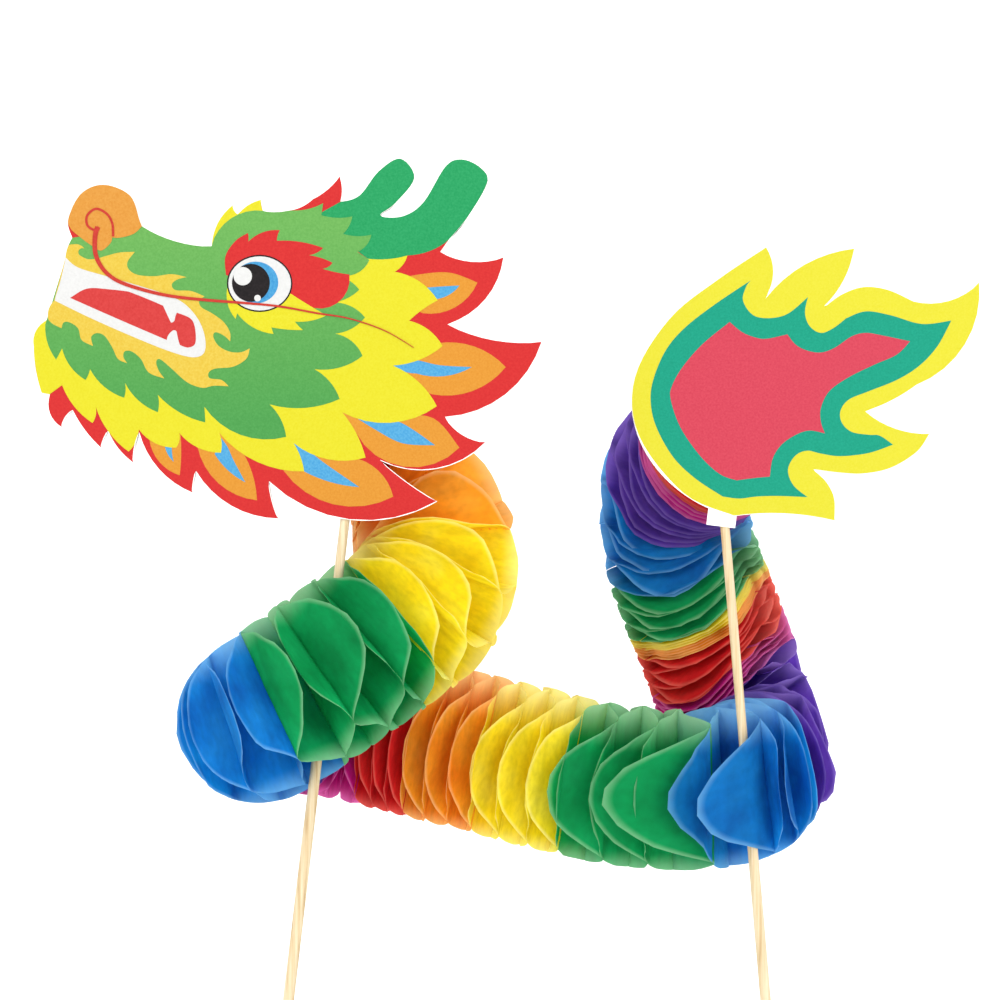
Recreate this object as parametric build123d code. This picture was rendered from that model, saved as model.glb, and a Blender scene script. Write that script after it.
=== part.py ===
from build123d import *
import os
from math import cos, radians, sin

# A paper dragon on two bamboo sticks. A printed card head and a printed card flame tail
# are each glued round a stick, and a garland of honeycomb tissue joins one to the other.
# Millimetres, +Z up. The origin is the bottom end of the head stick, on its axis. The
# dragon faces -X, and its printed front cards face -Y.

# sticks: straight bamboo, with a thicker handle end that stays clear of the tissue
STICK_LENGTH = 228
HEAD_HANDLE_LENGTH = 80
TAIL_HANDLE_LENGTH = 50
TAPER_LENGTH = 60
HANDLE_RADIUS = 1.85
SHANK_RADIUS = 1.6
STICK_END_BEVEL = 0.3
HEAD_STICK_FOOT = (0, 0, 0)
HEAD_STICK_LEAN = 6.71  # degrees, top towards +X
TAIL_STICK_FOOT = (166.5, 38, 0)
TAIL_STICK_LEAN = -4.91  # degrees, top towards -X

# cards: a front and a back one either side of each stick, held apart by foam tape
CARD_THICKNESS = 0.4
CARD_GAP = 2 * SHANK_RADIUS + 0.3
FRONT_CARD_BACK = -CARD_GAP / 2
BACK_CARD_FRONT = CARD_GAP / 2
TAIL_PLANE = TAIL_STICK_FOOT[1]
FOAM_SIZE = (9, 12)
FOAM_GAP = 0.02  # squeezed joint line between foam tape and card

# tissue garland: round sheets glued face to face, pulled open along a bent centre line
SHEET_RADIUS = 28.3
SHEET_THICKNESS = 0.06
SHEETS_IN_A_BAND = 6
STICK_HOLE_RADIUS = 2.4
END_DISC_RADIUS = 20
END_DISC_THICKNESS = 0.5
GLUE_THICKNESS = 0.4
GLUE_RADIUS = 14

# the garland's centre line: corners, and the bend radius at each one between the ends
CENTRE_LINE = [
    (12, 3.4, 213),
    (12, 44, 213),
    (66, 26, 165.5),
    (-12, -14, 111),
    (-8, 88, 113),
    (111, 52, 88),
    (159, 42, 84),
    (168, 96, 97),
    (142, 95, 158),
    (133, 95, 196),
    (154, 62, 211),
    (154, 41.4, 211),
]
BEND_RADII = [28.6, 28.6, 29, 29, 120, 29, 29, 60, 29, 40]

# colour bands from head to tail, and how far each is pulled open along the centre line
BANDS = [
    ("red", 18), ("orange", 65), ("yellow", 37), ("green", 38), ("blue", 47), ("purple", 32), ("magenta", 31),
    ("red", 17), ("orange", 26), ("yellow", 32), ("green", 42), ("blue", 34), ("purple", 48), ("magenta", 8),
    ("red", 16), ("orange", 3), ("yellow", 3), ("green", 14), ("blue", 33), ("purple", 22), ("magenta", 17),
    ("red", 13),
]

# Card outlines, as (x, z) strokes that follow on from each other. A stroke of one point
# is a straight cut, of two an arc through the first, and of more a smooth curve.
HEAD_OUTLINE = [
    # brow spikes, back of the crest, and the two round-ended antlers
    [(-35, 274.2), (-23, 272.4)],
    [(-21, 280.2), (-15.8, 286.3)],
    [(-15.4, 284.6), (-14.2, 283.1)],
    [(-10.8, 286.2), (-6.4, 288)],
    [(-6.1, 285.9), (-5.7, 284.2)],
    [(-1.3, 283.9), (2.7, 284.4)],
    [(7.1, 285.7), (10.7, 288.2)],
    [(15.6, 291.4), (19.7, 295.9)],
    [(20.6, 291.7), (20.1, 287.3)],
    [
        (26.2, 289.4), (32.5, 297.4), (39.9, 301.7), (44.7, 295.1), (38.2, 286.5), (33.4, 282.7), (40.5, 282.5),
        (47.4, 287.1), (54.8, 299.1), (60.5, 301.4), (66.8, 298.5), (68.9, 293.4), (62.3, 281.9), (56.3, 274.7),
    ],
    # mane feathers, from the nape round to the throat
    [(53.3, 270.5)],
    [(63.4, 267.4), (74.3, 268.8)],
    [(68, 254.4), (55.7, 246.4)],
    [(70.3, 241.4), (87, 240.7)],
    [(74.9, 223), (54.8, 215.5)],
    [(60.5, 209.8), (68.3, 207.2)],
    [(54.2, 198.9), (33.1, 201.2)],
    [(41.1, 194.6), (52, 187.5)],
    [(21, 181.7), (-3.9, 194.1)],
    [(-3, 188.6), (-0.7, 181.7)],
    [(-16.7, 186.1), (-28.2, 197.5)],
    [(-29, 193.8), (-29.3, 190.3)],
    [(-40.2, 197.8), (-47.1, 210.4)],
    [(-48.6, 205.2), (-49, 200.3)],
    [(-53.9, 204.9), (-57.4, 210.9)],
    [(-58.9, 208.1), (-59.7, 205.2)],
    [(-65.4, 211.5), (-69.2, 217.8)],
    [(-71.7, 215.2), (-72.8, 212.1)],
    [(-76.8, 216.7), (-76.8, 223)],
    # chin, lips and the ball of the nose
    [(-79.5, 223.5)],
    [(-81.6, 231.5), (-82.2, 239)],
    [(-81.3, 244.7), (-77.4, 248.1)],
    [(-77.2, 251.6), (-75.4, 254.4)],
    [(-73.2, 261.4), (-71.7, 268.2)],
    [(-71.1, 271.6), (-69.4, 275.1)],
    [(-70.8, 281.1), (-66.5, 289.9), (-58.8, 293), (-49.9, 289.4), (-46.7, 281.1), (-45.9, 279.1)],
]
FLAME_OUTLINE = [
    [(167.9, 267.5), (165, 258)],
    [(176.4, 268.5), (195.9, 275.3)],
    [(192, 263.6), (185.5, 255.1)],
    [(191.4, 259.4), (199, 262), (207.5, 261), (216.3, 257)],
    [(229, 257.3), (239.2, 263.6)],
    [(235.4, 243.8), (217.3, 227.7)],
    [(209.2, 222.6), (199.8, 218.7)],
    [(209.5, 213.1), (222.1, 211.1)],
    [(217.6, 204.6), (208.5, 199), (198.8, 197), (190.1, 197.4), (181.8, 198.5)],
    [(186.2, 194.4), (189, 188.6), (189.1, 180.7)],
    [(172, 183.2), (154.1, 182.4)],
    [(136.6, 190.2), (121, 210.2), (119.6, 230.6), (131.7, 251), (149.2, 265.1), (165.3, 275.8)],
]
# foam tape squares, as (x, z) centres: none may touch a stick
HEAD_FOAM = [(-58, 262), (-35, 225), (0, 265), (45, 215), (60, 245)]
TAIL_FOAM = [(132, 225), (175, 245), (178, 205), (205, 235)]
# paper tape that holds the tail stick to the front card, and shows below the card's edge
TAPE_SIZE = (10, 14)
TAPE_THICKNESS = 0.08
TAPE_MIDDLE = (150.4, 185.8)
TAPE_TURN = 7  # degrees


def outline(strokes):
    """A closed (x, z) outline. The last stroke ends where the first one starts."""
    edges = []
    here = strokes[-1][-1]
    for stroke in strokes:
        if len(stroke) == 1:
            edges.append(Line(here, stroke[0]))
        elif len(stroke) == 2:
            edges.append(ThreePointArc(here, stroke[0], stroke[1]))
        else:
            edges.append(Spline(here, *stroke))
        here = stroke[-1]
    return make_face(Wire(edges))


def card(strokes, front_y):
    """A sheet of card cut to an outline, standing in the XZ plane with its front at front_y."""
    upright = Plane(origin=(0, front_y, 0), x_dir=(1, 0, 0), z_dir=(0, -1, 0))
    return extrude(upright * outline(strokes), amount=-CARD_THICKNESS)


def up_the_stick(foot, lean):
    """The stick's own plane: its Z runs up the stick."""
    return Plane(origin=foot, x_dir=(cos(radians(lean)), 0, -sin(radians(lean))),
                 z_dir=(sin(radians(lean)), 0, cos(radians(lean))))


def stick(foot, lean, handle_length):
    """A bamboo stick: a round handle end, a long taper, then a slimmer shank."""
    bevel = STICK_END_BEVEL
    profile = Polyline(
        (0, 0),
        (HANDLE_RADIUS - bevel, 0),
        (HANDLE_RADIUS, bevel),
        (HANDLE_RADIUS, handle_length),
        (SHANK_RADIUS, handle_length + TAPER_LENGTH),
        (SHANK_RADIUS, STICK_LENGTH - bevel),
        (SHANK_RADIUS - bevel, STICK_LENGTH),
        (0, STICK_LENGTH),
        close=True,
    )
    turned = revolve(Plane.XZ * make_face(profile), Axis.Z)
    return up_the_stick(foot, lean) * turned


def stick_hole(foot, lean):
    """The room that a stick needs where it passes through the tissue."""
    return up_the_stick(foot, lean) * Cylinder(
        STICK_HOLE_RADIUS, STICK_LENGTH, align=(Align.CENTER, Align.CENTER, Align.MIN)
    )


def foam_pads(centres, middle_y):
    """Squares of foam tape that fill the gap between a front and a back card."""
    width, height = FOAM_SIZE
    thickness = CARD_GAP - 2 * FOAM_GAP
    return Compound(children=[
        Pos(x, middle_y, z) * Box(width, thickness, height) for x, z in centres
    ])


def paper_tape(middle, middle_y):
    """A strip of paper tape flat on the inside of a front card, over the end of its stick."""
    width, height = TAPE_SIZE
    y = middle_y + FRONT_CARD_BACK + FOAM_GAP + TAPE_THICKNESS / 2
    return Pos(middle[0], y, middle[1]) * Rot(0, TAPE_TURN, 0) * Box(width, TAPE_THICKNESS, height)


def end_disc(radius, thickness, at, facing):
    """A round card or glue spot, lying from at towards facing."""
    return Plane(origin=at, z_dir=facing) * Cylinder(
        radius, thickness, align=(Align.CENTER, Align.CENTER, Align.MIN)
    )


def garland_places():
    """The centre line, and for each band the stretch of it that the band's sheets take up."""
    bent = FilletPolyline(*CENTRE_LINE, radius=BEND_RADII)
    total = sum(length for _, length in BANDS)
    done = 0
    stretches = []
    for _, length in BANDS:
        stretches.append((done / total, (done + length) / total))
        done += length
    return bent, stretches


def band_sheets(line, start, end, holes):
    """One colour's sheets, square to the centre line and evenly spread along their stretch."""
    sheets = []
    for i in range(SHEETS_IN_A_BAND):
        along = start + (end - start) * (i + 0.5) / SHEETS_IN_A_BAND
        place = Plane(origin=line.position_at(along), z_dir=line.tangent_at(along))
        sheet = place * Cylinder(SHEET_RADIUS, SHEET_THICKNESS)
        for hole in holes:
            sheet = sheet - hole
        sheets += sheet.solids()
    return Compound(children=sheets)


def save(shape, name):
    shape.label = name
    export_step(shape, os.path.join("parts", name + ".step"))


os.makedirs("parts", exist_ok=True)

# head
save(card(HEAD_OUTLINE, FRONT_CARD_BACK - CARD_THICKNESS), "head_card_front")
save(card(HEAD_OUTLINE, BACK_CARD_FRONT), "head_card_back")
save(stick(HEAD_STICK_FOOT, HEAD_STICK_LEAN, HEAD_HANDLE_LENGTH), "head_stick")
save(foam_pads(HEAD_FOAM, 0), "head_foam_tape")

# tail
save(card(FLAME_OUTLINE, TAIL_PLANE + FRONT_CARD_BACK - CARD_THICKNESS), "tail_card_front")
save(card(FLAME_OUTLINE, TAIL_PLANE + BACK_CARD_FRONT), "tail_card_back")
save(stick(TAIL_STICK_FOOT, TAIL_STICK_LEAN, TAIL_HANDLE_LENGTH), "tail_stick")
save(foam_pads(TAIL_FOAM, TAIL_PLANE), "tail_foam_tape")
save(paper_tape(TAPE_MIDDLE, TAIL_PLANE), "tail_stick_tape")

# garland ends: a glue spot on the back card, then the stiff disc that the tissue starts from
back_of_head = BACK_CARD_FRONT + CARD_THICKNESS
back_of_tail = TAIL_PLANE + BACK_CARD_FRONT + CARD_THICKNESS
head_end_x, head_end_z = CENTRE_LINE[0][0], CENTRE_LINE[0][2]
tail_end_x, tail_end_z = CENTRE_LINE[-1][0], CENTRE_LINE[-1][2]
save(end_disc(GLUE_RADIUS, GLUE_THICKNESS, (head_end_x, back_of_head, head_end_z), (0, 1, 0)),
     "head_glue_spot")
save(end_disc(END_DISC_RADIUS, END_DISC_THICKNESS,
              (head_end_x, back_of_head + GLUE_THICKNESS, head_end_z), (0, 1, 0)), "head_end_disc")
save(end_disc(GLUE_RADIUS, GLUE_THICKNESS, (tail_end_x, back_of_tail, tail_end_z), (0, 1, 0)),
     "tail_glue_spot")
save(end_disc(END_DISC_RADIUS, END_DISC_THICKNESS,
              (tail_end_x, back_of_tail + GLUE_THICKNESS, tail_end_z), (0, 1, 0)), "tail_end_disc")

# tissue bands, numbered from head to tail
centre, stretches = garland_places()
print("centre line is", round(centre.length, 1), "mm long")
stick_holes = [stick_hole(HEAD_STICK_FOOT, HEAD_STICK_LEAN), stick_hole(TAIL_STICK_FOOT, TAIL_STICK_LEAN)]
for number, ((colour, _), (start, end)) in enumerate(zip(BANDS, stretches), 1):
    save(band_sheets(centre, start, end, stick_holes), f"tissue_{number:02d}_{colour}")
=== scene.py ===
import bmesh
import bpy
import math
import numpy as np
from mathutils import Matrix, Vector, noise
from mathutils.geometry import interpolate_bezier


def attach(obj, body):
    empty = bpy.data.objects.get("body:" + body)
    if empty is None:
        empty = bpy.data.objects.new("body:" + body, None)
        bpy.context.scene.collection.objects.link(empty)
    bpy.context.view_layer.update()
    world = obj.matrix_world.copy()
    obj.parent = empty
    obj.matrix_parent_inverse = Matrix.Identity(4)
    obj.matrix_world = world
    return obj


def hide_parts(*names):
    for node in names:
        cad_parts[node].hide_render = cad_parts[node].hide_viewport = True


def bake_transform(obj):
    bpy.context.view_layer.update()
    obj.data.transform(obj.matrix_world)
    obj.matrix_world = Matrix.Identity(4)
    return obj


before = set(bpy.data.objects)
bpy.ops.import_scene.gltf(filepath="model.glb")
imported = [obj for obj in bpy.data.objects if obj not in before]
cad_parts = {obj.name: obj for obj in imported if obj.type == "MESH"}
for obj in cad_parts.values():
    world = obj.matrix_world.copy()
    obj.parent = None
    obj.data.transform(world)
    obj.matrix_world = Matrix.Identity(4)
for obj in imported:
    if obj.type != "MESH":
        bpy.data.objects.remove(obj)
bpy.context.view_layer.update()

# ---------------------------------------------------------------------------------------
# Sticks: two straight splits of pale bamboo, shaved round, with a thicker handle end.
# They are raw wood with long fibres and a few darker streaks. The head stick is glued up
# between the head cards, and the tail stick runs down through the tissue.
# ---------------------------------------------------------------------------------------
MM = 0.001


def dye(red, green, blue):
    """A colour given on the usual 0-255 scale, as the linear colour a shader wants."""
    linear = []
    for part in (red, green, blue):
        share = part / 255
        linear.append(share / 12.92 if share <= 0.04045 else ((share + 0.055) / 1.055) ** 2.4)
    return (*linear, 1.0)


def new_finish(name, roughness, gloss):
    """An empty finish: the material, its node tree and its main shader."""
    finish = bpy.data.materials.new(name)
    finish.use_nodes = True
    tree = finish.node_tree
    shader = tree.nodes["Principled BSDF"]
    shader.inputs["Roughness"].default_value = roughness
    shader.inputs["Specular IOR Level"].default_value = gloss
    return finish, tree, shader


def grain(tree, source, spread, size, detail):
    """A noise pattern over the source coordinates, squeezed or stretched by spread."""
    fit = tree.nodes.new("ShaderNodeMapping")
    fit.inputs["Scale"].default_value = spread
    tree.links.new(source, fit.inputs["Vector"])
    pattern = tree.nodes.new("ShaderNodeTexNoise")
    pattern.inputs["Scale"].default_value = 1 / size
    pattern.inputs["Detail"].default_value = detail
    tree.links.new(fit.outputs["Vector"], pattern.inputs["Vector"])
    return pattern.outputs["Fac"]


def shades(tree, pattern, stops):
    """Colours that follow a pattern: each stop is (place from 0 to 1, colour)."""
    ramp = tree.nodes.new("ShaderNodeValToRGB")
    while len(ramp.color_ramp.elements) < len(stops):
        ramp.color_ramp.elements.new(0.5)
    for element, (place, colour) in zip(ramp.color_ramp.elements, stops):
        element.position = place
        element.color = colour
    tree.links.new(pattern, ramp.inputs["Fac"])
    return ramp.outputs["Color"]


def relief(tree, shader, pattern, height, strength):
    """Fine relief from a pattern, height in metres."""
    bump = tree.nodes.new("ShaderNodeBump")
    bump.inputs["Distance"].default_value = height
    bump.inputs["Strength"].default_value = strength
    tree.links.new(pattern, bump.inputs["Height"])
    tree.links.new(bump.outputs["Normal"], shader.inputs["Normal"])


def own_place(tree):
    """Coordinates that stay with the object, in metres."""
    return tree.nodes.new("ShaderNodeTexCoord").outputs["Object"]


def mottled_finish(name, roughness, gloss, spread, size, detail, stops, height, strength):
    """A finish whose colour and fine relief both follow one grain."""
    finish, tree, shader = new_finish(name, roughness, gloss)
    pattern = grain(tree, own_place(tree), spread, size, detail)
    tree.links.new(shades(tree, pattern, stops), shader.inputs["Base Color"])
    relief(tree, shader, pattern, height, strength)
    return finish


def dress(node_name, finish):
    """Gives a CAD part its finish."""
    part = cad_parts[node_name]
    part.data.materials.clear()
    part.data.materials.append(finish)


EVEN = (1, 1, 1)
ALONG_THE_STICK = (1, 1, 0.03)

bamboo_shades = [(0.25, dye(164, 132, 88)), (0.45, dye(198, 176, 138)), (0.75, dye(216, 202, 172))]
bamboo = mottled_finish("split_bamboo", 0.62, 0.3, ALONG_THE_STICK, 0.0011, 6, bamboo_shades, 0.00025, 0.6)
for stick in ("head_stick", "tail_stick"):
    dress(stick, bamboo)

# ---------------------------------------------------------------------------------------
# Head cards: two sheets of white 0.4 mm card, die cut to one outline and held apart by
# foam tape, one either side of the stick. The front one faces the audience. The fibres of
# the bare card show as a thin white line round every printed edge.
# ---------------------------------------------------------------------------------------
HEAD_FRONT = -2.15
HEAD_BACK = 2.15
PRINT_STRENGTH = 0.53
INK_STEP = 0.03
INK_LIFT = 0.001
INK_MOTTLE = 0.0007
INK_TOOTH = 0.00005
INK_ROUGHNESS = 0.42
CUT_MARGIN = 0.18

card_shades = [(0.3, dye(236, 235, 230)), (0.7, dye(252, 251, 248))]
card_stock = mottled_finish("white_card", 0.8, 0.2, EVEN, 0.0006, 5, card_shades, 0.00006, 0.5)
for card in ("head_card_front", "head_card_back", "tail_card_front", "tail_card_back"):
    dress(card, card_stock)

# Outlines are pen strokes in millimetres, (x, z), each starting where the last one ended.
# One point is a straight line, two are an arc through the first, more are a smooth curve.
HEAD_OUTLINE = [
    [(-35, 274.2), (-23, 272.4)], [(-21, 280.2), (-15.8, 286.3)], [(-15.4, 284.6), (-14.2, 283.1)],
    [(-10.8, 286.2), (-6.4, 288)], [(-6.1, 285.9), (-5.7, 284.2)], [(-1.3, 283.9), (2.7, 284.4)],
    [(7.1, 285.7), (10.7, 288.2)], [(15.6, 291.4), (19.7, 295.9)], [(20.6, 291.7), (20.1, 287.3)],
    [(26.2, 289.4), (32.5, 297.4), (39.9, 301.7), (44.7, 295.1), (38.2, 286.5), (33.4, 282.7),
    (40.5, 282.5),
     (47.4, 287.1), (54.8, 299.1), (60.5, 301.4), (66.8, 298.5), (68.9, 293.4), (62.3, 281.9),
     (56.3, 274.7)],
    [(53.3, 270.5)], [(63.4, 267.4), (74.3, 268.8)], [(68, 254.4), (55.7, 246.4)],
    [(70.3, 241.4), (87, 240.7)],
    [(74.9, 223), (54.8, 215.5)], [(60.5, 209.8), (68.3, 207.2)], [(54.2, 198.9), (33.1, 201.2)],
    [(41.1, 194.6), (52, 187.5)], [(21, 181.7), (-3.9, 194.1)], [(-3, 188.6), (-0.7, 181.7)],
    [(-16.7, 186.1), (-28.2, 197.5)], [(-29, 193.8), (-29.3, 190.3)], [(-40.2, 197.8), (-47.1, 210.4)],
    [(-48.6, 205.2), (-49, 200.3)], [(-53.9, 204.9), (-57.4, 210.9)], [(-58.9, 208.1), (-59.7, 205.2)],
    [(-65.4, 211.5), (-69.2, 217.8)], [(-71.7, 215.2), (-72.8, 212.1)], [(-76.8, 216.7), (-76.8, 223)],
    [(-79.5, 223.5)], [(-81.6, 231.5), (-82.2, 239)], [(-81.3, 244.7), (-77.4, 248.1)],
    [(-77.2, 251.6), (-75.4, 254.4)], [(-73.2, 261.4), (-71.7, 268.2)], [(-71.1, 271.6), (-69.4, 275.1)],
    [(-70.8, 281.1), (-66.5, 289.9), (-58.8, 293), (-49.9, 289.4), (-46.7, 281.1), (-45.9, 279.1)],
]


def arc(first, middle, last, pieces):
    """Points on the circle through three points, after the first and up to the last."""
    (ax, ay), (bx, by), (cx, cy) = first, middle, last
    twice_area = 2 * (ax * (by - cy) + bx * (cy - ay) + cx * (ay - by))
    if abs(twice_area) < 0.01:
        return [middle, last]
    a2, b2, c2 = ax * ax + ay * ay, bx * bx + by * by, cx * cx + cy * cy
    mx = (a2 * (by - cy) + b2 * (cy - ay) + c2 * (ay - by)) / twice_area
    my = (a2 * (cx - bx) + b2 * (ax - cx) + c2 * (bx - ax)) / twice_area
    start = math.atan2(ay - my, ax - mx)
    full = 2 * math.pi
    turn = (math.atan2(cy - my, cx - mx) - start) % full
    half_way = (math.atan2(by - my, bx - mx) - start) % full
    if half_way > turn:
        turn -= full
    radius = math.hypot(ax - mx, ay - my)
    swing = [start + turn * k / pieces for k in range(1, pieces + 1)]
    return [(mx + radius * math.cos(t), my + radius * math.sin(t)) for t in swing]


def smooth(points, pieces):
    """A curve through every point, leaving each one along the line between its neighbours."""
    drawn = []
    ends = [points[0]] + points + [points[-1]]
    for before, here, after, beyond in zip(ends, ends[1:], ends[2:], ends[3:]):
        hand_out = (here[0] + (after[0] - before[0]) / 6, here[1] + (after[1] - before[1]) / 6)
        hand_in = (after[0] - (beyond[0] - here[0]) / 6, after[1] - (beyond[1] - here[1]) / 6)
        corners = [Vector((*p, 0)) for p in (here, hand_out, hand_in, after)]
        drawn += [(p.x, p.y) for p in interpolate_bezier(*corners, pieces + 1)[1:]]
    return drawn


def drawn_outline(strokes):
    """The strokes as one closed ring of points. The last stroke ends where the first starts."""
    ring = []
    here = strokes[-1][-1]
    for stroke in strokes:
        if len(stroke) == 1:
            ring += stroke
        elif len(stroke) == 2:
            ring += arc(here, *stroke, 8)
        else:
            ring += smooth([here] + stroke, 6)
        here = stroke[-1]
    return ring


def ring_area(ring):
    """Area inside a ring, positive when it runs anticlockwise."""
    return sum(a[0] * b[1] - b[0] * a[1] for a, b in zip(ring, ring[1:] + ring[:1])) / 2


def drawn_in(ring, margin):
    """The ring moved in by a margin all round."""
    side = 1 if ring_area(ring) > 0 else -1
    moved = []
    for before, here, after in zip(ring[-1:] + ring[:-1], ring, ring[1:] + ring[:1]):
        along = Vector((after[0] - before[0], after[1] - before[1])).normalized()
        moved.append((here[0] - side * margin * along.y, here[1] + side * margin * along.x))
    return moved


def is_inside(point, ring):
    """Whether a point lies inside a ring."""
    x, z = point
    inside = False
    for (ax, az), (bx, bz) in zip(ring, ring[1:] + ring[:1]):
        if (az > z) != (bz > z) and x < ax + (z - az) * (bx - ax) / (bz - az):
            inside = not inside
    return inside


def trimmed_to(ring, border):
    """The ring with every point that falls outside the border brought back onto it."""
    kept = []
    for point in ring:
        if is_inside(point, border):
            kept.append(point)
            continue
        nearest = None
        for a, b in zip(border, border[1:] + border[:1]):
            start = Vector(a)
            edge = Vector(b) - start
            share = 0
            if edge.length > 0:
                share = max(0, min(1, (Vector(point) - start).dot(edge) / edge.length_squared))
            spot = start + share * edge
            gap = (spot - Vector(point)).length
            if nearest is None or gap < nearest[0]:
                nearest = (gap, (spot.x, spot.y))
        if not kept or nearest[1] != kept[-1]:
            kept.append(nearest[1])
    return kept


def add_plate(shell, ring, y_low, y_high):
    """A thin flat plate cut to a ring, from y_low to y_high, in millimetres."""
    if ring_area(ring) < 0:
        ring = ring[::-1]
    near = [shell.verts.new((x * MM, y_low * MM, z * MM)) for x, z in ring]
    far = [shell.verts.new((x * MM, y_high * MM, z * MM)) for x, z in ring]
    shell.faces.new(near)
    shell.faces.new(far[::-1])
    for k in range(len(ring)):
        following = (k + 1) % len(ring)
        shell.faces.new((near[following], near[k], far[k], far[following]))


def printed(name, rings, level, front_y, back_y, body, finish):
    """One colour of ink, at its own level, on the front card and again on the back card."""
    shell = bmesh.new()
    for ring in rings:
        outer = level * INK_STEP
        add_plate(shell, ring, front_y - outer, front_y - INK_LIFT)
        add_plate(shell, ring, back_y + INK_LIFT, back_y + outer)
    shell.normal_update()
    bmesh.ops.triangulate(shell, faces=[f for f in shell.faces if len(f.verts) > 4], ngon_method="EAR_CLIP")
    mesh = bpy.data.meshes.new(name)
    shell.to_mesh(mesh)
    shell.free()
    piece = bpy.data.objects.new(name, mesh)
    bpy.context.scene.collection.objects.link(piece)
    mesh.materials.append(finish)
    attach(piece, body)
    return piece


def on_card(colour):
    """A printed colour, darker than its dye. Tissue is brighter, as light also comes through it."""
    return (*(part * PRINT_STRENGTH for part in colour[:3]), 1.0)


def ink(name, deep, light):
    """Satin printing ink: a faint mottle from the paper underneath, and a fine tooth."""
    deep = on_card(deep)
    light = on_card(light)
    finish, tree, shader = new_finish(name, INK_ROUGHNESS, 0.12)
    mottle = grain(tree, own_place(tree), EVEN, INK_MOTTLE, 8)
    tree.links.new(shades(tree, mottle, [(0.32, deep), (0.68, light)]), shader.inputs["Base Color"])
    relief(tree, shader, mottle, INK_TOOTH, 0.35)
    shader.inputs["Coat Weight"].default_value = 0.02
    shader.inputs["Coat Roughness"].default_value = 0.3
    return finish


head_edge = drawn_in(drawn_outline(HEAD_OUTLINE), CUT_MARGIN)


def head_ink(name, outlines, level, finish):
    """A colour printed on the two head cards, trimmed where it runs off the cut edge."""
    rings = [trimmed_to(drawn_outline(strokes), head_edge) for strokes in outlines]
    return printed(name, rings, level, HEAD_FRONT, HEAD_BACK, "head", finish)


red_ink = ink("ink_red", dye(226, 46, 48), dye(236, 58, 56))
printed("head_print_red", [head_edge], 1, HEAD_FRONT, HEAD_BACK, "head", red_ink)

# ---------------------------------------------------------------------------------------
# Mane: rows of flame-shaped feathers printed round the back of the head, red at the cut
# edge, then orange with a blue sliver in each, then yellow, which also makes the chin.
# ---------------------------------------------------------------------------------------
ORANGE_FEATHERS = [
    [[(50.8, 263.6), (57.7, 263.3), (65.5, 260.3)], [(60, 253.3), (47.4, 250.1)], [(41.7, 252.7)],
    [(39.4, 261.9)]],
    [[(64.6, 239), (74.9, 232.2)], [(65.7, 225), (50.2, 223.2)], [(39.4, 227.5)], [(34.8, 234.4)],
    [(52, 240.1)]],
    [[(37.1, 216.4), (50.8, 215.2), (59.5, 205.4)], [(42.8, 198.9), (25.1, 210.4)], [(18.8, 218.4)]],
    [[(32.5, 197.8), (37.5, 189.1)], [(18.8, 186.3), (1, 197.8)], [(7.3, 204.6)], [(23.3, 202.3)]],
    [[(-11.6, 202.3), (-7.8, 187.9)], [(-20.2, 193.2), (-27.6, 205.8)], [(-22.5, 211.5)], [(-17.9, 210.9)]],
    [[(-33, 204.1), (-33.5, 196.2)], [(-40.2, 200.6), (-43.6, 208.1)], [(-36.2, 211.5)], [(-33.3, 210.6)]],
]
BLUE_SLIVERS = [
    [[(53.7, 259), (59.5, 259.3)], [(56, 256.2), (50.2, 254.7)], [(45.1, 256.2)], [(46.2, 258.4)]],
    [[(41.7, 234.2), (45.7, 234.4), (53.1, 232.8), (63.6, 232.2)], [(56.5, 229.5), (45.1, 230.1)],
     [(41.1, 230.7), (37.4, 232.6)]],
    [[(29.1, 216.1), (38.2, 214.4), (43.9, 211.5), (51.4, 206.2)],
    [(40.5, 206.9), (31.4, 211.5), (22.8, 216.9)]],
    [[(9.6, 204.1), (15.3, 199.8), (26.2, 192.3)], [(16.5, 194), (7.3, 197.8)],
    [(6.4, 202.3), (3.9, 207.4)]],
    [[(-17.7, 205.8), (-15.6, 201.2), (-11.7, 193.9)], [(-17.9, 198.3), (-21.9, 203.3)],
     [(-20.7, 205.8), (-20.2, 209.2)]],
    [[(-36.1, 204.1), (-35.5, 200.7)], [(-37.3, 202.9), (-38.5, 206.2)], [(-37.3, 206.9), (-36.1, 206)]],
]
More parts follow.
